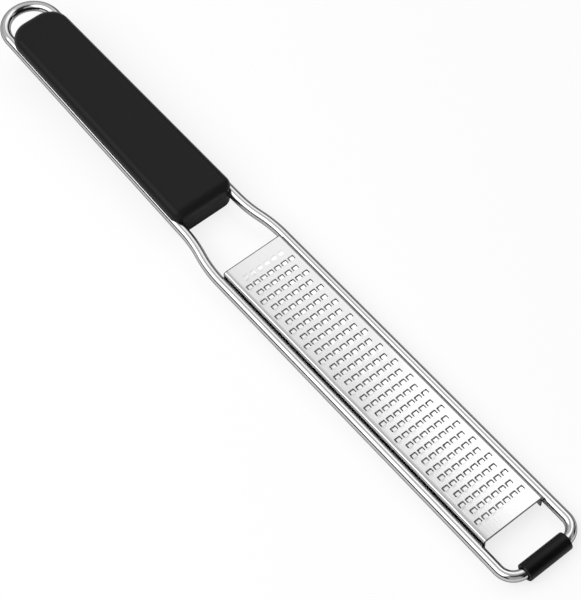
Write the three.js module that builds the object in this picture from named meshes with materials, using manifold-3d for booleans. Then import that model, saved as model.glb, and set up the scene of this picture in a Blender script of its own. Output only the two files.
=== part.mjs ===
// A hand-held cheese grater: an etched steel blade welded into a bent wire frame with a two-part handle.
// Millimetres. +X points from the handle to the tip and +Z up. The finished grater lies on z = 0.
// Sizes are worked out with x = 0 at the handle end of the blade and z = 0 at the wire's centre.
import * as THREE from 'three';
import { mergeGeometries, mergeVertices } from 'three/addons/utils/BufferGeometryUtils.js';
import Module from 'manifold-3d';

const wasm = await Module();
wasm.setup();

// Wire frame
const wireDiameter = 4.5;
const railSpacing = 34; // between the wire's centre lines along the blade
const tipGap = 17.4; // from the tip end of the blade to the centre line of the front bar
const frontCornerRadius = 7; // of the wire's centre line
const flareLength = 27; // of the curve that draws the rails in behind the blade
const handleRailSpacing = 27.4; // between the centre lines where the flare ends
const loopRadius = 11.7; // of the centre line of the hanging loop
const loopOpening = 8.5; // clear, from the back of the handle to the inside of the loop
const wireEndGap = 0.4; // between the two ends of the wire, under the sleeve
const liftAngle = THREE.MathUtils.degToRad(2.4); // of the handle end over the blade's plane

// Blade
const bladeLength = 154.8;
const sheetThickness = 0.6;
const bladeRise = 3.5; // from the wire's centre to the top of the blade
const flangeLap = 0.6; // of a flange below the middle of its welds
const foldRadius = 0.5; // inside the fold
const railGap = 0.15; // between a flange and its rail

// Teeth
const toothWidth = 2.8;
const toothLength = 2;
const columnWeb = 0.76; // of sheet between neighbours in a row
const rowWeb = 2.5; // of sheet between one row and the next
const firstRowInset = 7.3; // from the handle end of the blade to the middle of the first row
const lastRowInset = 7.5; // least, from the middle of the last row to the tip end of the blade
const toothMargin = 1.2; // least, from a tooth to the fold
const mouthGap = 0.4; // in front of a cutting edge
const legGap = 0.3; // at each side of a tongue
const tongueThickness = 0.36;
const tongueRoot = 0.35; // length of a tongue inside the sheet
const tongueAngle = THREE.MathUtils.degToRad(14);

// Welds between the flanges and the rails
const weldsPerSide = 4;
const weldLength = 6;
const weldRadius = 0.5;
const weldGap = 0.25;
const weldInset = 14; // from the ends of the blade to the middle of the end welds

// Handle
const handleLength = 121.95;
const handleThickness = 14;
const handleClearOfFlare = 3.4;
const handleOverhang = 1.35; // from the wire's centre line to the side of the handle
const handleUpperEdgeRadius = 3.9;
const handleBellyRadius = 5.5; // along the two sides of the underside
const handleBellyDraft = 0.4; // by which each side draws in, from the parting to the underside
const handleFrontCornerRadius = 4.2;
const handleRearCornerRadius = 9.3;
const handleWall = 2.4;
const handleFrontWall = 4;
const wireFitGap = 0.3; // round the wire in its grooves and in the sleeve
const partingGap = 0.3; // between the two halves
const cavityCornerRadius = 3;
const pegDiameter = 4;
const pegFitGap = 0.3;
const pegEndGap = 1.4; // from a peg to the bottom of its socket
const pegInset = 12; // from the ends of the cavity to a peg's centre
const socketWall = 1.4;

// Front sleeve
const sleeveWall = 1.25;
const sleeveOverrun = 0.4; // of each end past the straight stretch of the bar
const sleeveEndRadius = 0.6;

// Facets
const wireSides = 12;
const roundSides = 24;
const pegSides = 16;

const steel = { color: 0xd4d6d8, metalness: 1 };
const bladeFinish = new THREE.MeshStandardMaterial({ ...steel, roughness: 0.32 });
const wireFinish = new THREE.MeshStandardMaterial({ ...steel, roughness: 0.12 });
const weldFinish = new THREE.MeshStandardMaterial({ ...steel, roughness: 0.45 });
const handleFinish = new THREE.MeshStandardMaterial({ color: 0x262626, roughness: 0.62, metalness: 0 });
const sleeveFinish = new THREE.MeshStandardMaterial({ color: 0x1c1c1c, roughness: 0.7, metalness: 0 });

// Places that follow from the sizes
const wireRadius = wireDiameter / 2;
const railHalf = railSpacing / 2;
const handleRailHalf = handleRailSpacing / 2;
const barX = bladeLength + tipGap;
const barStraightHalf = railHalf - frontCornerRadius;
const bladeHalf = railHalf - wireRadius - railGap;
const outerFoldRadius = foldRadius + sheetThickness;
const flatHalf = bladeHalf - outerFoldRadius;
const rowPitch = toothLength + rowWeb;
const columnPitch = toothWidth + columnWeb;
const weldSide = bladeHalf + weldGap + weldRadius;
const weldFromWire = wireRadius + weldGap + weldRadius;
const weldDrop = Math.sqrt(weldFromWire ** 2 - (railHalf - weldSide) ** 2);
const handleFrontX = -flareLength - handleClearOfFlare;
const handleRearX = handleFrontX - handleLength;
const loopX = handleRearX - loopOpening + loopRadius - wireRadius;
const sleeveRadius = wireRadius + wireFitGap + sleeveWall;

// The straight rail along the handle touches the loop's circle at this angle.
const flareEnd = new THREE.Vector2(-flareLength, handleRailHalf);
const flareEndFromLoop = flareEnd.clone().sub(new THREE.Vector2(loopX, 0));
const loopStartAngle = flareEndFromLoop.angle() + Math.acos(loopRadius / flareEndFromLoop.length());
const loopStart = new THREE.Vector2(
  loopX + loopRadius * Math.cos(loopStartAngle),
  loopRadius * Math.sin(loopStartAngle),
);
const railSlope = (handleRailHalf - loopStart.y) / (flareEnd.x - loopStart.x);
const handleHalfAt = (x) => handleRailHalf + (x - flareEnd.x) * railSlope + handleOverhang;

function solidOf(geometry) {
  const bare = geometry.clone();
  bare.deleteAttribute('normal');
  bare.deleteAttribute('uv');
  const merged = mergeVertices(bare);
  const corners = merged.index.array;
  const kept = [];
  for (let i = 0; i < corners.length; i += 3) {
    const [a, b, c] = corners.subarray(i, i + 3);
    if (a !== b && b !== c && c !== a) kept.push(a, b, c);
  }
  const vertProperties = new Float32Array(merged.attributes.position.array);
  const triVerts = new Uint32Array(kept);
  return new wasm.Manifold(new wasm.Mesh({ numProp: 3, vertProperties, triVerts }));
}

function geometryOf(solid) {
  const mesh = solid.getMesh();
  const geometry = new THREE.BufferGeometry();
  geometry.setAttribute('position', new THREE.BufferAttribute(mesh.vertProperties, 3));
  geometry.setIndex(new THREE.BufferAttribute(mesh.triVerts, 1));
  geometry.computeVertexNormals();
  return geometry;
}

function named(name, geometry, material) {
  const mesh = new THREE.Mesh(geometry, material);
  mesh.name = name;
  return mesh;
}

// A closed outline through corner points, each rounded with its own radius.
function roundedOutline(corners) {
  const outline = new THREE.Shape();
  corners.forEach(([x, y, radius], i) => {
    const corner = new THREE.Vector2(x, y);
    const before = corners[(i + corners.length - 1) % corners.length];
    const after = corners[(i + 1) % corners.length];
    const back = new THREE.Vector2(before[0], before[1]).sub(corner).normalize();
    const ahead = new THREE.Vector2(after[0], after[1]).sub(corner).normalize();
    const halfAngle = Math.acos(back.dot(ahead)) / 2;
    const inward = back.clone().add(ahead).normalize();
    const centre = inward.multiplyScalar(radius / Math.sin(halfAngle)).add(corner);
    const reach = radius / Math.tan(halfAngle);
    const from = back.multiplyScalar(reach).add(corner).sub(centre);
    const to = ahead.multiplyScalar(reach).add(corner).sub(centre);
    outline.absarc(centre.x, centre.y, radius, from.angle(), to.angle(), false);
  });
  return outline;
}

// A path through given points, with a ring of the extrusion at each of them.
class PointPath extends THREE.Curve {
  constructor(points) {
    super();
    this.points = points;
  }

  getSpacedPoints() {
    return this.points;
  }

  getTangentAt(u, target = new THREE.Vector3()) {
    const last = this.points.length - 1;
    const i = Math.round(u * last);
    const ahead = this.points[Math.min(i + 1, last)];
    const behind = this.points[Math.max(i - 1, 0)];
    return target.subVectors(ahead, behind).normalize();
  }
}

function tube(points, radius, sides) {
  const section = new THREE.Shape();
  section.absarc(0, 0, radius, 0, 2 * Math.PI, false);
  const options = {
    steps: points.length - 1,
    curveSegments: sides / 2,
    extrudePath: new PointPath(points),
  };
  return new THREE.ExtrudeGeometry(section, options);
}

// Half of the wire's centre line, flat, from the middle of the front bar round to the end of the loop.
function halfCentreLine() {
  const cornerSteps = 7;
  const flareSteps = 8;
  const loopSteps = 10;
  const line = [[barX, wireEndGap / 2]];
  for (let i = 0; i <= cornerSteps; i++) {
    const angle = (i / cornerSteps) * (Math.PI / 2);
    line.push([
      barX - frontCornerRadius + frontCornerRadius * Math.cos(angle),
      barStraightHalf + frontCornerRadius * Math.sin(angle),
    ]);
  }
  for (let i = 0; i <= flareSteps; i++) {
    const share = i / flareSteps;
    const drawnIn = (1 - Math.cos(Math.PI * share)) / 2;
    line.push([-flareLength * share, railHalf + (handleRailHalf - railHalf) * drawnIn]);
  }
  for (let i = 0; i <= loopSteps; i++) {
    const angle = loopStartAngle + (i / loopSteps) * (Math.PI - loopStartAngle);
    line.push([loopX + loopRadius * Math.cos(angle), loopRadius * Math.sin(angle)]);
  }
  return line;
}

// The whole centre line. With lift, its handle end rises at the lift angle.
function centreLine(lift) {
  const half = halfCentreLine();
  const other = half.slice(0, -1).reverse().map(([x, y]) => [x, -y]);
  return [...half, ...other].map(([x, y]) => {
    const behindBlade = Math.max(-x, 0);
    const ahead = Math.max(x, 0);
    return new THREE.Vector3(ahead - behindBlade * Math.cos(lift), y, behindBlade * Math.sin(lift));
  });
}

function wireFrame() {
  return named('wire_frame', tube(centreLine(liftAngle), wireRadius, wireSides), wireFinish);
}

function channelOutline() {
  const foldZ = bladeRise - outerFoldRadius;
  const bottom = -weldDrop - flangeLap;
  const outline = new THREE.Shape();
  outline.moveTo(bladeHalf, bottom);
  outline.lineTo(bladeHalf, foldZ);
  outline.absarc(flatHalf, foldZ, outerFoldRadius, 0, Math.PI / 2, false);
  outline.absarc(-flatHalf, foldZ, outerFoldRadius, Math.PI / 2, Math.PI, false);
  outline.lineTo(-bladeHalf, bottom);
  outline.lineTo(-bladeHalf + sheetThickness, bottom);
  outline.absarc(-flatHalf, foldZ, foldRadius, Math.PI, Math.PI / 2, true);
  outline.absarc(flatHalf, foldZ, foldRadius, Math.PI / 2, 0, true);
  outline.lineTo(bladeHalf - sheetThickness, bottom);
  return outline;
}

// The middle of each tooth: rows along the blade, one tooth fewer in every other row.
function toothCentres() {
  const rows = Math.floor((bladeLength - firstRowInset - lastRowInset) / rowPitch) + 1;
  const widest = Math.floor((2 * (flatHalf - toothMargin) - toothWidth) / columnPitch) + 1;
  const centres = [];
  for (let row = 0; row < rows; row++) {
    const count = row % 2 === 0 ? widest - 1 : widest;
    for (let i = 0; i < count; i++) {
      centres.push([firstRowInset + row * rowPitch, (i - (count - 1) / 2) * columnPitch]);
    }
  }
  return centres;
}

function toothWindow([x, y]) {
  const through = 2 * sheetThickness;
  const cut = new THREE.BoxGeometry(toothLength, toothWidth, through);
  return cut.translate(x, y, bladeRise - sheetThickness / 2);
}

// A tongue is hinged at the tip side of its window, with its cutting edge raised towards the handle.
function tongue([x, y]) {
  const length = toothLength - mouthGap + tongueRoot;
  const leaf = new THREE.BoxGeometry(length, toothWidth - 2 * legGap, tongueThickness);
  leaf.translate(tongueRoot - length / 2, 0, 0);
  leaf.rotateY(tongueAngle);
  return leaf.translate(x + toothLength / 2, y, bladeRise - sheetThickness / 2);
}

function blade() {
  const channel = new THREE.ExtrudeGeometry(channelOutline(), {
    depth: bladeLength,
    bevelEnabled: false,
    curveSegments: 2,
  });
  const alongX = new THREE.Matrix4().makeBasis(
    new THREE.Vector3(0, 1, 0),
    new THREE.Vector3(0, 0, 1),
    new THREE.Vector3(1, 0, 0),
  );
  channel.applyMatrix4(alongX);
  const centres = toothCentres();
  const windows = solidOf(mergeGeometries(centres.map(toothWindow)));
  const tongues = solidOf(mergeGeometries(centres.map(tongue)));
  const etched = solidOf(channel).subtract(windows).add(tongues);
  return named('blade', geometryOf(etched), bladeFinish);
}

// Each weld lies in the groove below a rail, against the outside of the flange.
function welds() {
  const step = (bladeLength - 2 * weldInset) / (weldsPerSide - 1);
  const beads = [];
  for (const [sideName, sign] of [['left', -1], ['right', 1]]) {
    for (let i = 0; i < weldsPerSide; i++) {
      const bead = new THREE.CapsuleGeometry(weldRadius, weldLength - 2 * weldRadius, 2, 8);
      bead.rotateZ(Math.PI / 2);
      const mesh = named(`weld_${sideName}_${i + 1}`, geometryOf(solidOf(bead)), weldFinish);
      mesh.position.set(weldInset + i * step, sign * weldSide, -weldDrop);
      beads.push(mesh);
    }
  }
  return beads;
}

function handleOutline() {
  const front = handleHalfAt(handleFrontX);
  const rear = handleHalfAt(handleRearX);
  return roundedOutline([
    [handleFrontX, -front, handleFrontCornerRadius],
    [handleFrontX, front, handleFrontCornerRadius],
    [handleRearX, rear, handleRearCornerRadius],
    [handleRearX, -rear, handleRearCornerRadius],
  ]);
}

function upperBody() {
  const depth = handleThickness - 2 * handleUpperEdgeRadius;
  const body = new THREE.ExtrudeGeometry(handleOutline(), {
    depth,
    steps: 1,
    bevelThickness: handleUpperEdgeRadius,
    bevelSize: handleUpperEdgeRadius,
    bevelOffset: -handleUpperEdgeRadius,
    bevelSegments: 4,
    curveSegments: 4,
  });
  return solidOf(body.translate(0, 0, -depth / 2));
}

// Below the wire the handle is a bar with rounded sides, cut off square at its two ends.
function lowerBody() {
  const prism = new THREE.ExtrudeGeometry(handleOutline(), {
    depth: 2 * handleThickness,
    bevelEnabled: false,
    curveSegments: 4,
  });
  prism.translate(0, 0, -handleThickness);
  const front = handleHalfAt(handleFrontX);
  const bottom = front - handleBellyDraft;
  const top = front + handleBellyDraft;
  const profile = roundedOutline([
    [-bottom, -handleThickness / 2, handleBellyRadius],
    [bottom, -handleThickness / 2, handleBellyRadius],
    [top, handleThickness / 2, handleBellyRadius],
    [-top, handleThickness / 2, handleBellyRadius],
  ]);
  const bar = new THREE.ExtrudeGeometry(profile, {
    depth: handleLength + 2 * handleWall,
    bevelEnabled: false,
    curveSegments: 4,
  });
  const [x, y, z] = [0, 1, 2].map((axis) => new THREE.Vector3().setComponent(axis, 1));
  bar.applyMatrix4(new THREE.Matrix4().makeBasis(y, z, x));
  bar.translate(handleRearX - handleWall, 0, 0);
  const place = bar.attributes.position;
  for (let i = 0; i < place.count; i++) {
    place.setY(i, (place.getY(i) * handleHalfAt(place.getX(i))) / front);
  }
  return solidOf(prism).intersect(solidOf(bar));
}

// The hollow between the webs beside the wire grooves.
const cavityFrontX = handleFrontX - handleFrontWall;
const cavityRearX = handleRearX + handleWall + handleRearCornerRadius;
const cavityHalfAt = (x) => handleHalfAt(x) - handleOverhang - wireRadius - wireFitGap - handleWall;

function cavity() {
  const front = cavityHalfAt(cavityFrontX);
  const rear = cavityHalfAt(cavityRearX);
  const outline = roundedOutline([
    [cavityFrontX, -front, cavityCornerRadius],
    [cavityFrontX, front, cavityCornerRadius],
    [cavityRearX, rear, cavityCornerRadius],
    [cavityRearX, -rear, cavityCornerRadius],
  ]);
  const depth = handleThickness - 2 * handleWall;
  const hollow = new THREE.ExtrudeGeometry(outline, { depth, bevelEnabled: false, curveSegments: 3 });
  return solidOf(hollow.translate(0, 0, -depth / 2));
}

function upright(radius, from, to, x, y) {
  const post = new THREE.CylinderGeometry(radius, radius, to - from, pegSides);
  post.rotateX(Math.PI / 2);
  return solidOf(post.translate(x, y, (from + to) / 2));
}

function pegPlaces() {
  const socketRadius = pegDiameter / 2 + pegFitGap + socketWall;
  const places = [];
  for (const x of [cavityFrontX - pegInset, cavityRearX + pegInset]) {
    for (const sign of [-1, 1]) places.push([x, sign * (cavityHalfAt(x) + socketWall / 2 - socketRadius)]);
  }
  return places;
}

function halfSpace(sign) {
  const width = 2 * Math.max(handleHalfAt(handleFrontX), handleHalfAt(handleRearX));
  const block = new THREE.BoxGeometry(2 * handleLength, 2 * width, 2 * handleThickness);
  const middleX = handleFrontX - handleLength / 2;
  return solidOf(block.translate(middleX, 0, sign * (handleThickness + partingGap / 2)));
}

function handleHalves() {
  const grooves = solidOf(tube(centreLine(0), wireRadius + wireFitGap, wireSides));
  const hollows = cavity().add(grooves);
  const innerFace = handleThickness / 2 - handleWall;
  const bedded = handleThickness / 2 - handleWall / 2; // inside the wall that carries a peg or socket
  const pegRadius = pegDiameter / 2;
  const holeRadius = pegRadius + pegFitGap;
  let upper = upperBody().subtract(hollows).intersect(halfSpace(1));
  let lower = lowerBody().subtract(hollows).intersect(halfSpace(-1));
  for (const [x, y] of pegPlaces()) {
    upper = upper.add(upright(pegRadius, pegEndGap - innerFace, bedded, x, y));
    lower = lower.add(upright(holeRadius + socketWall, -bedded, -partingGap, x, y));
  }
  for (const [x, y] of pegPlaces()) {
    lower = lower.subtract(upright(holeRadius, -innerFace, partingGap, x, y));
  }
  return [
    named('handle_upper_half', geometryOf(upper), handleFinish),
    named('handle_lower_half', geometryOf(lower), handleFinish),
  ];
}

// A rubber tube over the straight stretch of the front bar.
function frontSleeve() {
  const half = barStraightHalf + sleeveOverrun;
  const bore = wireRadius + wireFitGap;
  const roundRadius = sleeveRadius - sleeveEndRadius;
  const roundY = half - sleeveEndRadius;
  const profile = new THREE.Path();
  profile.moveTo(bore, -half);
  profile.lineTo(roundRadius, -half);
  profile.absarc(roundRadius, -roundY, sleeveEndRadius, -Math.PI / 2, 0, false);
  profile.absarc(roundRadius, roundY, sleeveEndRadius, 0, Math.PI / 2, false);
  profile.lineTo(bore, half);
  profile.lineTo(bore, -half);
  const ring = new THREE.LatheGeometry(profile.getPoints(2), roundSides);
  const mesh = named('front_sleeve', geometryOf(solidOf(ring)), sleeveFinish);
  mesh.position.set(barX, 0, 0);
  return mesh;
}

const handleEnd = new THREE.Group();
handleEnd.add(...handleHalves());
handleEnd.rotation.y = liftAngle;

const assembly = new THREE.Group();
assembly.add(wireFrame(), blade(), ...welds(), frontSleeve(), handleEnd);

// It lies on the sleeve and on the front edge of the handle's flat underside.
const restEdge = new THREE.Vector3(handleFrontX, 0, -handleThickness / 2);
restEdge.applyEuler(handleEnd.rotation);
const restSleeve = new THREE.Vector3(barX, 0, -sleeveRadius);
assembly.rotation.y = Math.atan2(restSleeve.z - restEdge.z, restSleeve.x - restEdge.x);

const grater = new THREE.Group();
grater.add(assembly);
const box = new THREE.Box3().setFromObject(grater, true);
const middle = box.getCenter(new THREE.Vector3());
grater.position.set(-middle.x, -middle.y, -box.min.z);

export default grater;
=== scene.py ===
import math

import bmesh
import bpy
from mathutils import Matrix, Vector


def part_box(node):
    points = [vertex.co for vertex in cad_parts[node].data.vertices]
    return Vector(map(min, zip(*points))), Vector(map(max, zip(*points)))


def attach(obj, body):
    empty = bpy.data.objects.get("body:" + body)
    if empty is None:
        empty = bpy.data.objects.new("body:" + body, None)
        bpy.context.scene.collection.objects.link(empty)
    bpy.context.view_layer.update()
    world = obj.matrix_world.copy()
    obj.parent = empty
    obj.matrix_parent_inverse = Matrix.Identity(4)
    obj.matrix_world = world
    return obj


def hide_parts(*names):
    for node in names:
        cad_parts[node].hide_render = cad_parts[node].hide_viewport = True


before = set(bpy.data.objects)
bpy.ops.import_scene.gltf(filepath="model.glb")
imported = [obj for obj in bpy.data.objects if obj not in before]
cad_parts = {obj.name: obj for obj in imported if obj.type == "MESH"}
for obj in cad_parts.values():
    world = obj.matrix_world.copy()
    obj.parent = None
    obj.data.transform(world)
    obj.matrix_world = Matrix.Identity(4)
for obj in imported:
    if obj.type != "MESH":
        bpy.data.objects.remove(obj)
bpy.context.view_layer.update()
print("frame loaded,", len(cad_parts), "nodes")

# every piece is drawn flat in millimetres, then settled into the frame
stance = {
    "millimetre": 0.001,
    "lift": 2.4,  # degrees that the frame rises behind the blade
    "fine": 0.001,  # millimetres within which two points count as one
    "near": 0.01,  # millimetres within which a place counts as the one looked for
}


# small helpers for working in edit mode

def leaveEdit():
    bpy.ops.object.mode_set(mode="OBJECT")


def only(piece):
    if bpy.context.mode != "OBJECT":
        leaveEdit()
    bpy.ops.object.select_all(action="DESELECT")
    bpy.context.view_layer.objects.active = piece
    if piece:
        piece.select_set(True)


def applyPlace():
    bpy.ops.object.transform_apply(location=True, rotation=True, scale=True)


def start(name, addPrimitive, **settings):
    only(None)
    addPrimitive(**settings)
    piece = bpy.context.object
    piece.name = name
    piece.data.name = name
    applyPlace()
    bpy.ops.object.mode_set(mode="EDIT")
    return piece


def edit(piece):
    only(piece)
    bpy.ops.object.mode_set(mode="EDIT")


def middleOf(element):
    if isinstance(element, bmesh.types.BMVert):
        return element.co
    return sum((v.co for v in element.verts), Vector()) / len(element.verts)


def pick(piece, kind, test):
    bpy.ops.mesh.select_mode(type=kind)
    bpy.ops.mesh.select_all(action="DESELECT")
    mesh = bmesh.from_edit_mesh(piece.data)
    elements = {"VERT": mesh.verts, "EDGE": mesh.edges, "FACE": mesh.faces}[kind]
    for element in elements:
        if test(element, middleOf(element)):
            element.select_set(True)
    mesh.select_flush_mode()
    bmesh.update_edit_mesh(piece.data)


def pickAll():
    bpy.ops.mesh.select_all(action="SELECT")


def near(a, b):
    return abs(a - b) < stance["near"]


def pickEdgesAt(piece, axis, place):
    pick(piece, "EDGE", lambda e, c: all(near(getattr(v.co, axis), place) for v in e.verts))


def pull(x, y, z):
    bpy.ops.mesh.extrude_region_move(TRANSFORM_OT_translate={"value": (x, y, z)})


def pullEdges(x, y, z):
    bpy.ops.mesh.extrude_edges_move(TRANSFORM_OT_translate={"value": (x, y, z)})


def stretch(size, center):
    bpy.ops.transform.resize(value=size, center_override=center)


def tilt(angle, center):
    # with no window, transform.rotate turns the other way
    bpy.ops.transform.rotate(value=-math.radians(angle), orient_axis="Y", center_override=center)


def turn(steps, angle, center, axis):
    bpy.ops.mesh.spin(steps=steps, angle=-angle, center=center, axis=axis)


def roundOff(radius, steps):
    bpy.ops.mesh.bevel(offset=radius, segments=steps, affect="EDGES")


def cut(piece, test, point, normal):
    pick(piece, "FACE", test)
    bpy.ops.mesh.bisect(plane_co=point, plane_no=normal)


def closeUp():
    pickAll()
    bpy.ops.mesh.remove_doubles(threshold=stance["fine"])
    bpy.ops.mesh.normals_make_consistent(inside=False)


def useModifier(piece, kind, **settings):
    only(piece)
    bpy.ops.object.modifier_add(type=kind)
    modifier = piece.modifiers[-1]
    for name, value in settings.items():
        setattr(modifier, name, value)
    bpy.ops.object.modifier_apply(modifier=modifier.name)


def copyOf(piece, name):
    only(piece)
    bpy.ops.object.duplicate()
    twin = bpy.context.object
    twin.name = name
    twin.data.name = name
    return twin


def settle(piece, place, smoothAngle):
    only(piece)
    piece.matrix_world = place
    applyPlace()
    bpy.ops.object.shade_smooth_by_angle(angle=math.radians(smoothAngle))


def handOver(piece, finish, slotName, *nodes):
    piece.data.materials.clear()
    piece.data.materials.append(finish)
    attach(piece, "root")
    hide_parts(*nodes)


def boxMiddle(node):
    low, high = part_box(node)
    return (low + high) / 2


# small helpers for node trees

def addMath(tree, operation, first, second=0):
    node = tree.nodes.new("ShaderNodeMath")
    node.operation = operation
    for socket, value in zip(node.inputs, (first, second)):
        if isinstance(value, (int, float)):
            socket.default_value = value
        else:
            tree.links.new(value, socket)
    return node.outputs["Value"]


def addSpan(tree, source, limits, results=(0, 1), shape="LINEAR"):
    span = tree.nodes.new("ShaderNodeMapRange")
    span.interpolation_type = shape
    span.inputs["From Min"].default_value, span.inputs["From Max"].default_value = limits
    span.inputs["To Min"].default_value, span.inputs["To Max"].default_value = results
    tree.links.new(source, span.inputs["Value"])
    return span.outputs["Result"]


def newFinish(name, sockets):
    finish = bpy.data.materials.new(name)
    finish.use_nodes = True
    shader = finish.node_tree.nodes["Principled BSDF"]
    for socket, value in sockets.items():
        shader.inputs[socket].default_value = value
    return finish, finish.node_tree, shader


reliefDepth = 0.0001  # metres


# one noise on the piece's own coordinates gives a finish its colour, gloss and relief
def grainFinish(name, look):
    finish, tree, shader = newFinish(name, look["sockets"])
    place = tree.nodes.new("ShaderNodeTexCoord")
    mapping = tree.nodes.new("ShaderNodeMapping")
    mapping.inputs["Scale"].default_value = look["stretch"]
    noise = tree.nodes.new("ShaderNodeTexNoise")
    noise.inputs["Scale"].default_value = look["scale"]
    noise.inputs["Detail"].default_value = look["detail"]
    tree.links.new(place.outputs["Object"], mapping.inputs["Vector"])
    tree.links.new(mapping.outputs["Vector"], noise.inputs["Vector"])
    grain = noise.outputs["Fac"]

    wholeRange = (0, 1)
    tree.links.new(addSpan(tree, grain, wholeRange, look["roughness"]), shader.inputs["Roughness"])
    ramp = tree.nodes.new("ShaderNodeValToRGB")
    for stop, color in zip(ramp.color_ramp.elements, look["colors"]):
        stop.color = (*color, 1)
    tree.links.new(grain, ramp.inputs["Fac"])
    tree.links.new(ramp.outputs["Color"], shader.inputs["Base Color"])
    bump = tree.nodes.new("ShaderNodeBump")
    bump.inputs["Strength"].default_value = look["relief"]
    bump.inputs["Distance"].default_value = reliefDepth
    tree.links.new(grain, bump.inputs["Height"])
    tree.links.new(bump.outputs["Normal"], shader.inputs["Normal"])
    return finish


# the wire frame, one half pulled along its way and mirrored

wire = {
    "radius": 2.25,
    "sides": 40,
    "barX": 172.2,
    "endGap": 0.4,  # the two wire ends meet inside the sleeve
    "railHalf": 17.0,
    "cornerRadius": 7.0,
    "cornerSteps": 14,
    "flareLength": 27.0,
    "flareSteps": 10,
    "gripHalf": 13.7,  # rail distance from the middle where the flare ends
    "loopX": -151.4,
    "loopRadius": 11.7,
    "loopSteps": 24,
    "smoothAngle": 40.0,
    "finish": {  # fine lines from drawing the wire
        "sockets": {"Metallic": 1.0, "Specular Tint": (0.03, 0.03, 0.03, 1)},
        "scale": 900,
        "stretch": (0.05, 1, 1),
        "detail": 3,
        "roughness": (0.09, 0.17),
        "colors": ((0.52, 0.52, 0.52), (0.57, 0.57, 0.57)),
        "relief": 0.02,
    },
}

# the rails slope down to the tip, as the welds along them show
railRun = boxMiddle("weld_left_4") - boxMiddle("weld_left_1")
toMetres = Matrix.Scale(stance["millimetre"], 4)
restTurn = Matrix.Rotation(math.atan2(-railRun.z, railRun.x), 4, "Y")
liftTurn = Matrix.Rotation(math.radians(stance["lift"]), 4, "Y")
barToOrigin = Matrix.Translation((-wire["barX"], 0, 0))
toFrame = Matrix.Translation(boxMiddle("front_sleeve")) @ restTurn @ toMetres @ barToOrigin
toHandle = toFrame @ liftTurn


def bendWire(name, radius):
    corner = wire["cornerRadius"]
    barEnd = wire["railHalf"] - corner
    halfGap = wire["endGap"] / 2
    up = (0, 0, 1)
    piece = start(
        name, bpy.ops.mesh.primitive_circle_add, vertices=wire["sides"], radius=radius,
        location=(wire["barX"], halfGap, 0), rotation=(math.pi / 2, 0, 0),
    )
    pickAll()
    bpy.ops.mesh.edge_face_add()  # the wire's end inside the sleeve
    pick(piece, "EDGE", lambda e, c: True)
    pullEdges(0, barEnd - halfGap, 0)
    turn(wire["cornerSteps"], math.pi / 2, (wire["barX"] - corner, barEnd, 0), up)
    pull(corner - wire["barX"], 0, 0)

    # the flare is two equal arcs that end on the grip's slightly closing line
    toLoop = Vector((-wire["flareLength"] - wire["loopX"], wire["gripHalf"]))
    slope = math.atan2(toLoop.y, toLoop.x) - math.asin(wire["loopRadius"] / toLoop.length)
    inward = wire["railHalf"] - wire["gripHalf"]
    square = inward ** 2 + wire["flareLength"] ** 2
    halfSum = (1 + math.cos(slope)) * inward - wire["flareLength"] * math.sin(slope)
    root = math.sqrt(halfSum ** 2 + (2 - 2 * math.cos(slope)) * square)
    bend = square / (halfSum + root)
    swing = math.asin((wire["flareLength"] / bend + math.sin(slope)) / 2)
    turn(wire["flareSteps"], swing, (0, wire["railHalf"] - bend, 0), up)
    backX = -2 * bend * math.sin(swing)
    backY = wire["railHalf"] - bend + 2 * bend * math.cos(swing)
    turn(wire["flareSteps"], slope - swing, (backX, backY, 0), up)

    outward = Vector((-math.sin(slope), math.cos(slope)))
    loopStart = Vector((wire["loopX"], 0)) + wire["loopRadius"] * outward
    pull(loopStart.x + wire["flareLength"], loopStart.y - wire["gripHalf"], 0)
    turn(wire["loopSteps"], math.pi / 2 - slope, (wire["loopX"], 0, 0), up)
    leaveEdit()
    useModifier(piece, "MIRROR", use_axis=(False, True, False), merge_threshold=stance["near"])
    edit(piece)
    closeUp()
    return piece


wireFrame = bendWire("bent_wire", wire["radius"])
pick(wireFrame, "VERT", lambda v, c: c.x < -stance["fine"])
tilt(stance["lift"], (0, 0, 0))
settle(wireFrame, toFrame, wire["smoothAngle"])
handOver(wireFrame, grainFinish("polished_wire_steel", wire["finish"]), "wire", "wire_frame")
print("wire frame bent")


# the blade, one tooth modelled and copied over the sheet

blade = {
    "length": 154.8,
    "rise": 3.5,  # top of the sheet above the middle of the wire
    "thickness": 0.6,
    "flatHalf": 13.5,
    "foldRadius": 1.1,
    "foldSteps": 12,
    "flangeBottom": -3.1,
    "firstRow": 7.3,
    "rowPitch": 4.5,
    "columnPitch": 3.56,
    "pairsOfRows": 16,
    "wideRow": 7,
    "narrowRow": 6,
    "smoothAngle": 8.2,
    "tooth": {
        "crown": -1.0,  # outer edge of the crown slot, from the middle of the row
        "crownSlot": 0.74,
        "legSlot": 0.54,
        "halfWidth": 1.45,
        "legLength": 2.0,
        "cornerCut": 0.26,
        "tongueCut": 0.2,
        "rootAngle": 8.0,  # the tongue rises at its root and flattens towards its cutting edge
        "tipAngle": -3.0,
        "shallow": 0.06,  # depth of the half-etched first row
    },
    "finish": {  # fine brush lines along the sheet
        "sockets": {"Metallic": 1.0},
        "scale": 1400,
        "stretch": (0.06, 1, 1),
        "detail": 4,
        "roughness": (0.09, 0.15),
        "colors": ((0.51, 0.51, 0.51), (0.58, 0.58, 0.58)),
        "relief": 0.04,
    },
    # painted highlight: a brighter colour on the raised teeth, in place of the lamp's reflection on them
    "raisedHighlightColor": (0.8, 0.8, 0.8),
    "raisedHighlightFade": (0.002, 0.02),  # height over the sheet where the painted highlight on the raised teeth starts and is full
    # painted shade: a dark line along both cut ends of the sheet
    "endShadeColor": (0.06, 0.06, 0.06),
    "endShadeFade": (0.45, 0.3),  # distance from the sheet's end where the painted shade starts and is full
}


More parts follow.
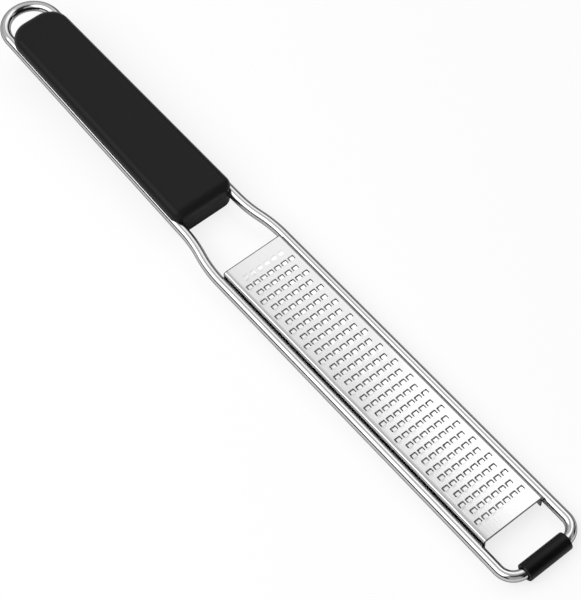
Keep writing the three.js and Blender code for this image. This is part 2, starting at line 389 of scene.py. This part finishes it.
def satinSheet():
    finish = grainFinish("satin_blade_steel", blade["finish"])
    tree = finish.node_tree
    place = tree.nodes["Texture Coordinate"]
    baseColor = tree.nodes["Principled BSDF"].inputs["Base Color"]
    half = blade["length"] / 2
    middle = toFrame @ Vector((half, 0, blade["rise"]))

    def along(way):
        direction = (toFrame.to_3x3() @ Vector(way)).normalized()
        reach = tree.nodes.new("ShaderNodeVectorMath")
        reach.operation = "DOT_PRODUCT"
        reach.inputs[1].default_value = direction
        tree.links.new(place.outputs["Object"], reach.inputs[0])
        return addMath(tree, "SUBTRACT", reach.outputs["Value"], direction.dot(middle))

    def paintOver(distance, limits, color):
        blend = tree.nodes.new("ShaderNodeMix")
        blend.data_type = "RGBA"
        share = addSpan(tree, distance, [limit * stance["millimetre"] for limit in limits])
        tree.links.new(share, blend.inputs["Factor"])
        tree.links.new(baseColor.links[0].from_socket, blend.inputs["A"])
        blend.inputs["B"].default_value = (*color, 1)
        tree.links.new(blend.outputs["Result"], baseColor)

    # painted highlight: the raised teeth are coloured brighter than the sheet
    paintOver(along((0, 0, 1)), blade["raisedHighlightFade"], blade["raisedHighlightColor"])
    # painted shade: the sheet is coloured dark along both of its cut ends
    fromMiddle = addMath(tree, "ABSOLUTE", along((1, 0, 0)))
    paintOver(fromMiddle, [half - inset for inset in blade["endShadeFade"]], blade["endShadeColor"])
    return finish


def makeTooth(name, cutThrough):
    tooth = blade["tooth"]
    rise = blade["rise"]
    halfRow = blade["rowPitch"] / 2
    outer = tooth["halfWidth"]
    inner = outer - tooth["legSlot"]
    crown = tooth["crown"]
    lip = crown + tooth["crownSlot"]
    hinge = crown + tooth["legLength"]
    fold = (lip + hinge) / 2
    along = (1, 0, 0)
    across = (0, 1, 0)
    piece = start(name, bpy.ops.mesh.primitive_plane_add, size=1, location=(0, 0, rise))
    pickAll()
    stretch((blade["rowPitch"], blade["columnPitch"], 1), (0, 0, rise))
    pick(piece, "EDGE", lambda e, c: near(abs(c.x), halfRow))
    bpy.ops.mesh.subdivide(number_cuts=1)  # the next row's corners meet this one half a column over
    cut(piece, lambda f, c: True, (crown, 0, 0), along)
    cut(piece, lambda f, c: c.x > crown, (hinge, 0, 0), along)
    for side in (outer, inner, -inner, -outer):
        cut(piece, lambda f, c: crown < c.x < hinge, (0, side, 0), across)
    cut(piece, lambda f, c: crown < c.x < hinge and abs(c.y) < outer, (lip, 0, 0), along)
    cut(piece, lambda f, c: lip < c.x < hinge and abs(c.y) < inner, (fold, 0, 0), along)
    for side in (1, -1):
        # round the slot's outer corner and the tongue's corner with short chamfers
        cut(
            piece, lambda f, c: crown < c.x < lip and inner < c.y * side < outer,
            (crown + tooth["cornerCut"], side * outer, 0), (1, -side, 0),
        )
        cut(
            piece, lambda f, c: lip < c.x < fold and abs(c.y) < inner,
            (lip + tooth["tongueCut"], side * inner, 0), (1, -side, 0),
        )

    def inSlot(f, c):
        if not crown < c.x < hinge or abs(c.y) > outer:
            return False
        if c.x < lip:
            return abs(c.y) < inner or outer - abs(c.y) + c.x - crown > tooth["cornerCut"]
        return abs(c.y) > inner or c.x - lip + inner - abs(c.y) < tooth["tongueCut"]

    pick(piece, "FACE", inSlot)
    if cutThrough:
        bpy.ops.mesh.delete(type="FACE")
    else:
        pull(0, 0, -tooth["shallow"])

    def onTongue(v, c):
        if c.z < rise - stance["fine"] or abs(c.y) > inner + stance["fine"]:
            return False
        return lip - stance["fine"] < c.x < hinge - stance["fine"]

    pick(piece, "VERT", onTongue)
    tilt(tooth["rootAngle"], (hinge, 0, rise))
    rootAngle = math.radians(tooth["rootAngle"])
    foldX = hinge - (hinge - fold) * math.cos(rootAngle)
    foldRise = rise + (hinge - fold) * math.sin(rootAngle)
    pick(piece, "VERT", lambda v, c: c.z > foldRise + stance["fine"])
    tilt(tooth["tipAngle"], (foldX, 0, foldRise))
    leaveEdit()
    return piece


def repeat(piece, count, step, **settings):
    useModifier(
        piece, "ARRAY", count=count, use_relative_offset=False, use_constant_offset=True,
        constant_offset_displace=step, **settings,
    )


def makeRow(name, toothPiece, count, pairs, firstX):
    row = copyOf(toothPiece, name)
    column = blade["columnPitch"]
    halfSpan = count * column / 2
    row.location = (firstX, column / 2 - halfSpan, 0)
    applyPlace()
    repeat(row, count, (0, column, 0), use_merge_vertices=True, merge_threshold=stance["fine"])
    if count == blade["narrowRow"]:
        # a plain half column at each end of the shorter rows
        for side in (1, -1):
            edit(row)
            pickEdgesAt(row, "y", side * halfSpan)
            pull(0, side * column / 2, 0)
    repeat(row, pairs, (2 * blade["rowPitch"], 0, 0))
    return row


openTooth = makeTooth("open_tooth", True)
shallowTooth = makeTooth("shallow_tooth", False)
pitch = blade["rowPitch"]
pairs = blade["pairsOfRows"]
firstX = blade["firstRow"]
sheet = makeRow("toothed_blade", openTooth, blade["wideRow"], pairs, firstX + pitch)
narrow = makeRow("narrow_rows", openTooth, blade["narrowRow"], pairs - 1, firstX + 2 * pitch)
first = makeRow("first_row", shallowTooth, blade["narrowRow"], 1, firstX)
for pattern in (openTooth, shallowTooth):
    bpy.data.objects.remove(pattern)
only(sheet)
narrow.select_set(True)
first.select_set(True)
bpy.ops.object.join()
edit(sheet)
pickAll()
bpy.ops.mesh.remove_doubles(threshold=stance["fine"])

# plain ends, then the two folds and flanges
backEdge = firstX - pitch / 2
frontEdge = backEdge + 2 * pairs * pitch
for edgeX, endX in ((backEdge, 0), (frontEdge, blade["length"])):
    pickEdgesAt(sheet, "x", edgeX)
    pull(endX - edgeX, 0, 0)
patternHalf = blade["wideRow"] * blade["columnPitch"] / 2
foldHeight = blade["rise"] - blade["foldRadius"]
for side in (1, -1):
    pickEdgesAt(sheet, "y", side * patternHalf)
    pull(0, side * (blade["flatHalf"] - patternHalf), 0)
    turn(blade["foldSteps"], -side * math.pi / 2, (0, side * blade["flatHalf"], foldHeight), (1, 0, 0))
    pull(0, 0, blade["flangeBottom"] - foldHeight)
closeUp()

# the toothed face has to look up before the sheet gets its thickness
largest = max(bmesh.from_edit_mesh(sheet.data).faces, key=lambda f: f.calc_area())
if largest.calc_center_median().z > foldHeight and largest.normal.z < 0:
    bpy.ops.mesh.flip_normals()
useModifier(
    sheet, "SOLIDIFY", thickness=blade["thickness"], offset=-1, use_even_offset=True,
    use_quality_normals=True,
)
settle(sheet, toFrame, blade["smoothAngle"])
handOver(sheet, satinSheet(), "blade", "blade")
print("blade toothed and folded,", len(sheet.data.polygons), "faces")


# weld beads under the rails, one modelled and copied

weld = {
    "radius": 0.5,
    "length": 6.0,
    "ripples": 9,
    "sides": 14,
    "ripple": 0.1,
    "endScale": 0.45,
    "smoothAngle": 60.0,
    "finish": {  # dull scale with a trace of heat colour
        "sockets": {"Metallic": 1.0},
        "scale": 1100,
        "stretch": (1, 1, 1),
        "detail": 5,
        "roughness": (0.3, 0.55),
        "colors": ((0.42, 0.4, 0.38), (0.66, 0.67, 0.68)),
        "relief": 0.2,
    },
}


def makeBead():
    endScale = weld["endScale"]
    endX = -weld["length"] / 2
    rings = 2 * weld["ripples"]
    step = weld["length"] / rings
    piece = start(
        "weld_bead", bpy.ops.mesh.primitive_circle_add, vertices=weld["sides"], radius=weld["radius"],
        location=(endX, 0, 0), rotation=(0, math.pi / 2, 0),
    )
    pickAll()
    stretch((1, endScale, endScale), (endX, 0, 0))
    bpy.ops.mesh.edge_face_add()
    pick(piece, "EDGE", lambda e, c: True)
    was = endScale
    for index in range(1, rings + 1):
        want = endScale if index == rings else 1 - weld["ripple"] * (1 - index % 2)
        pullEdges(step, 0, 0)
        stretch((1, want / was, want / was), (endX + index * step, 0, 0))
        was = want
    bpy.ops.mesh.edge_face_add()
    closeUp()
    leaveEdit()
    return piece


bead = makeBead()
beadFinish = grainFinish("dull_weld_steel", weld["finish"])
for nodeName in sorted(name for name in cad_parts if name.startswith("weld_")):
    beadCopy = copyOf(bead, "bead_" + nodeName)
    beadPlace = Matrix.Translation(boxMiddle(nodeName)) @ restTurn @ toMetres
    settle(beadCopy, beadPlace, weld["smoothAngle"])
    handOver(beadCopy, beadFinish, "weld", nodeName)
bpy.data.objects.remove(bead)
print("weld beads laid")


# the sleeve on the front bar

sleeve = {
    "radius": 3.8,
    "bore": 2.55,
    "halfLength": 10.4,
    "sides": 72,
    "rim": 0.4,
    "rimSteps": 5,
    "boreRim": 0.25,
    "boreRimSteps": 3,
    "smoothAngle": 40.0,
    "finish": {  # a dusty rubber skin
        "sockets": {"Specular IOR Level": 0.16},
        "scale": 3000,
        "stretch": (1, 1, 1),
        "detail": 4,
        "roughness": (0.31, 0.4),
        "colors": ((0.0015, 0.0015, 0.0015), (0.003, 0.003, 0.003)),
        "relief": 0.08,
    },
}


def makeSleeve():
    half = sleeve["halfLength"]
    piece = start(
        "soft_sleeve", bpy.ops.mesh.primitive_cylinder_add, vertices=sleeve["sides"],
        radius=sleeve["radius"], depth=2 * half,
        location=(wire["barX"], 0, 0), rotation=(math.pi / 2, 0, 0),
    )
    pick(piece, "FACE", lambda f, c: near(abs(c.y), half))
    bpy.ops.mesh.inset(thickness=sleeve["radius"] - sleeve["bore"])
    bpy.ops.mesh.bridge_edge_loops()

    def pickRim(radius):
        def onRim(v):
            return near(math.hypot(v.co.x - wire["barX"], v.co.z), radius)

        pick(piece, "EDGE", lambda e, c: near(abs(c.y), half) and all(onRim(v) for v in e.verts))

    pickRim(sleeve["radius"])
    roundOff(sleeve["rim"], sleeve["rimSteps"])
    pickRim(sleeve["bore"])
    roundOff(sleeve["boreRim"], sleeve["boreRimSteps"])
    closeUp()
    leaveEdit()
    return piece


softSleeve = makeSleeve()
settle(softSleeve, toFrame, sleeve["smoothAngle"])
handOver(softSleeve, grainFinish("black_rubber", sleeve["finish"]), "sleeve", "front_sleeve")
print("sleeve made")


# the handle, two halves that part along the wire

handle = {
    "frontX": -30.4,
    "rearX": -152.35,
    "frontHalf": 14.996,
    "rearHalf": 13.036,
    "halfThickness": 7.0,
    "frontCorner": 4.2,
    "rearCorner": 9.3,
    "cornerSteps": 14,
    "upperEdge": 3.9,
    "belly": 5.5,  # along the sides of the underside
    "bellyDraft": 0.4,  # each side draws in from the parting to the underside
    "barOverrun": 0.5,  # of the belly bar past both ends of the handle
    "edgeSteps": 12,
    "seam": 0.05,
    "grooveRadius": 2.31,
    "smoothAngle": 30.0,
    "finish": {  # a fine moulded pebble
        "sockets": {"Specular IOR Level": 0.06},
        "scale": 4200,
        "stretch": (1, 1, 1),
        "detail": 3,
        "roughness": (0.26, 0.34),
        "colors": ((0.011, 0.011, 0.011), (0.015, 0.015, 0.015)),
        "relief": 0.12,
    },
}


def makeOutline(name):
    length = handle["frontX"] - handle["rearX"]
    middleX = (handle["frontX"] + handle["rearX"]) / 2
    piece = start(name, bpy.ops.mesh.primitive_cube_add, size=1, location=(middleX, 0, 0))
    pickAll()
    stretch((length, 2 * handle["frontHalf"], 2 * handle["halfThickness"]), (middleX, 0, 0))
    pick(piece, "VERT", lambda v, c: c.x < middleX)
    stretch((1, handle["rearHalf"] / handle["frontHalf"], 1), (handle["rearX"], 0, 0))
    return piece


def roundCorners(piece):
    corners = ((handle["frontX"], handle["frontCorner"]), (handle["rearX"], handle["rearCorner"]))
    for cornerX, radius in corners:
        pick(piece, "EDGE", lambda e, c: near(c.z, 0) and near(c.x, cornerX) and abs(c.y) > radius)
        roundOff(radius, handle["cornerSteps"])


def makeUpper():
    piece = makeOutline("grip_upper")
    roundCorners(piece)
    pick(piece, "EDGE", lambda e, c: near(c.z, handle["halfThickness"]))
    roundOff(handle["upperEdge"], handle["edgeSteps"])
    closeUp()
    return piece


# the lower half is a bar with rounded sides, cut to the outline of the handle
def makeLower():
    thickness = handle["halfThickness"]
    bar = makeOutline("belly_bar")
    for level, side in ((-thickness, -1), (thickness, 1)):
        widen = 1 + side * handle["bellyDraft"] / handle["frontHalf"]
        pick(bar, "VERT", lambda v, c: near(c.z, level))
        stretch((1, widen, 1), (0, 0, level))
    pick(bar, "EDGE", lambda e, c: near(c.z, -thickness) and abs(c.y) > handle["belly"])
    roundOff(handle["belly"], handle["edgeSteps"])
    for endX, way in ((handle["frontX"], 1), (handle["rearX"], -1)):
        pick(bar, "VERT", lambda v, c: near(c.x, endX))
        bpy.ops.transform.translate(value=(way * handle["barOverrun"], 0, 0))
    closeUp()
    leaveEdit()
    piece = makeOutline("grip_lower")
    roundCorners(piece)
    pick(piece, "VERT", lambda v, c: near(c.z, -thickness))
    bpy.ops.transform.translate(value=(0, 0, -thickness))
    closeUp()
    useModifier(piece, "BOOLEAN", operation="INTERSECT", object=bar, solver="EXACT")
    bpy.data.objects.remove(bar)
    edit(piece)
    return piece


groove = bendWire("groove", handle["grooveRadius"])
gripFinish = grainFinish("matte_black_plastic", handle["finish"])
halves = ((makeUpper, "handle_upper_half", 1), (makeLower, "handle_lower_half", -1))
for makeHalf, nodeName, side in halves:
    half = makeHalf()
    pickAll()
    bpy.ops.mesh.bisect(
        plane_co=(0, 0, side * handle["seam"] / 2), plane_no=(0, 0, side),
        clear_inner=True, use_fill=True,
    )
    useModifier(half, "BOOLEAN", operation="DIFFERENCE", object=groove, solver="EXACT")
    edit(half)
    closeUp()
    settle(half, toHandle, handle["smoothAngle"])
    useModifier(half, "WEIGHTED_NORMAL", keep_sharp=True)
    handOver(half, gripFinish, "handle", nodeName)
bpy.data.objects.remove(groove)
print("handle halves made")


# the floor, seen as nearly white and still shaded below the object

ground = {
    "size": 40.0,
    "drop": 0.0002,
    "sockets": {"Base Color": (0.93, 0.93, 0.93, 1), "Roughness": 0.9, "Specular IOR Level": 0.0},
    "glow": 0.78,  # share of plain white in what the camera and the metal see of the floor
    # below these two areas the floor keeps all of its shade, for the camera and in the metal
    "underBlade": {"middle": 0.0695, "halfLength": 0.0755, "halfWidth": 0.0145, "soft": 0.0015},
    "underFrame": {"middle": 0.0025, "halfLength": 0.1775, "halfWidth": 0.0235, "soft": 0.004},
}

only(None)
bpy.ops.mesh.primitive_plane_add(size=ground["size"], location=(0, 0, -ground["drop"]))
floor = bpy.context.object
floor.name = "floor"
floorFinish, floorTree, floorShader = newFinish("pale_floor", ground["sockets"])
floorPlace = floorTree.nodes.new("ShaderNodeTexCoord")
floorSpot = floorTree.nodes.new("ShaderNodeSeparateXYZ")
floorTree.links.new(floorPlace.outputs["Object"], floorSpot.inputs["Vector"])


def outsideOf(area):
    steps = []
    for axis, middle, half in (("X", area["middle"], area["halfLength"]), ("Y", 0, area["halfWidth"])):
        offset = addMath(floorTree, "SUBTRACT", floorSpot.outputs[axis], middle)
        distance = addMath(floorTree, "ABSOLUTE", offset)
        limits = (half - area["soft"], half + area["soft"])
        steps.append(addSpan(floorTree, distance, limits, shape="SMOOTHSTEP"))
    return addMath(floorTree, "MAXIMUM", *steps)


rays = floorTree.nodes.new("ShaderNodeLightPath").outputs
mirrored = addMath(floorTree, "MAXIMUM", rays["Is Glossy Ray"], rays["Is Transmission Ray"])
seenWhite = addMath(floorTree, "MULTIPLY", rays["Is Camera Ray"], outsideOf(ground["underBlade"]))
mirroredWhite = addMath(floorTree, "MULTIPLY", mirrored, outsideOf(ground["underFrame"]))
anyWhite = addMath(floorTree, "MAXIMUM", seenWhite, mirroredWhite)
white = floorTree.nodes.new("ShaderNodeEmission")
blend = floorTree.nodes.new("ShaderNodeMixShader")
floorTree.links.new(addMath(floorTree, "MULTIPLY", anyWhite, ground["glow"]), blend.inputs["Fac"])
floorTree.links.new(floorShader.outputs["BSDF"], blend.inputs[1])
floorTree.links.new(white.outputs["Emission"], blend.inputs[2])
floorTree.links.new(blend.outputs["Shader"], floorTree.nodes["Material Output"].inputs["Surface"])
floor.data.materials.append(floorFinish)
print("floor laid")


# the sky, pale above and dark where the rails and the front edges mirror it

sky = {
    "top": 0.8,
    "front": 0.04,  # the side that the tip points to is dark
    "horizon": 0.04,
    "low": 0.6,  # on the sides that neither the rails nor the front edges mirror
    # limits along the axes of the direction, between which the parts of the sky blend
    "horizonToTop": (0.28, 0.55),
    "topToFront": (0.0, 0.4),
    "lowToEnds": (0.7, 0.8),
    "leftToDark": (-0.15, 0.05),
    "darkToRight": (0.48, 0.6),
    "lowToTop": (0.6, 0.9),
}

world = bpy.data.worlds.new("studio")
world.use_nodes = True
bpy.context.scene.world = world
skyTree = world.node_tree
skyPlace = skyTree.nodes.new("ShaderNodeTexCoord")
skyWay = skyTree.nodes.new("ShaderNodeSeparateXYZ")
skyTree.links.new(skyPlace.outputs["Generated"], skyWay.inputs["Vector"])
toFront, toRight, toTop = (skyWay.outputs[axis] for axis in "XYZ")


def fade(source, limits, low, high):
    return addSpan(skyTree, source, sky[limits], (low, high), "SMOOTHSTEP")


aboveHorizon = fade(toTop, "horizonToTop", sky["horizon"], 1)
fromFront = fade(toFront, "topToFront", sky["top"], sky["front"])
upperSky = addMath(skyTree, "MULTIPLY", aboveHorizon, fromFront)
beforeEnds = fade(addMath(skyTree, "ABSOLUTE", toRight), "lowToEnds", sky["low"], 0)
leftOfDark = fade(addMath(skyTree, "MINIMUM", toFront, toRight), "leftToDark", 1, 0)
besideDark = addMath(skyTree, "MAXIMUM", leftOfDark, fade(toRight, "darkToRight", 0, 1))
sides = addMath(skyTree, "MULTIPLY", beforeEnds, besideDark)
lowSky = addMath(skyTree, "MULTIPLY", sides, fade(toTop, "lowToTop", 1, 0))
wholeSky = addMath(skyTree, "MAXIMUM", upperSky, lowSky)
skyTree.links.new(wholeSky, skyTree.nodes["Background"].inputs["Color"])


# lamps and camera, turned in degrees

lamps = {
    "key": {"place": (-0.08, 0.499, 0.732), "turn": (-41.7, 0, 4), "size": (0.42, 0.45), "level": 1.2},
    "rear": {"place": (-0.479, 0.471, 0.732), "turn": (-41.7, 0, 4), "size": (0.38, 0.45), "level": 0.82},
    "fill": {"place": (-0.15, -0.51, 0.61), "turn": (39.9, 0, 0), "size": (1.1, 0.66), "level": 2.15},
}

view = {
    "lens": 124.494,
    "place": (0.379429, -0.2772, 0.694224),
    "turn": (33.3355, 1.1445, 50.7105),
}


def standing(thing):
    return {"location": thing["place"], "rotation": [math.radians(angle) for angle in thing["turn"]]}


for name, lamp in lamps.items():
    bpy.ops.object.light_add(type="AREA", **standing(lamp))
    light = bpy.context.object
    light.name = name
    light.data.shape = "RECTANGLE"
    light.data.size, light.data.size_y = lamp["size"]
    light.data.energy = lamp["level"] * math.pi * light.data.size * light.data.size_y

bpy.ops.object.camera_add(**standing(view))
camera = bpy.context.object
camera.data.lens = view["lens"]
bpy.context.scene.camera = camera
bpy.context.scene.view_settings.view_transform = "Standard"
print("sky, lamps and camera set")

print("scene ready")
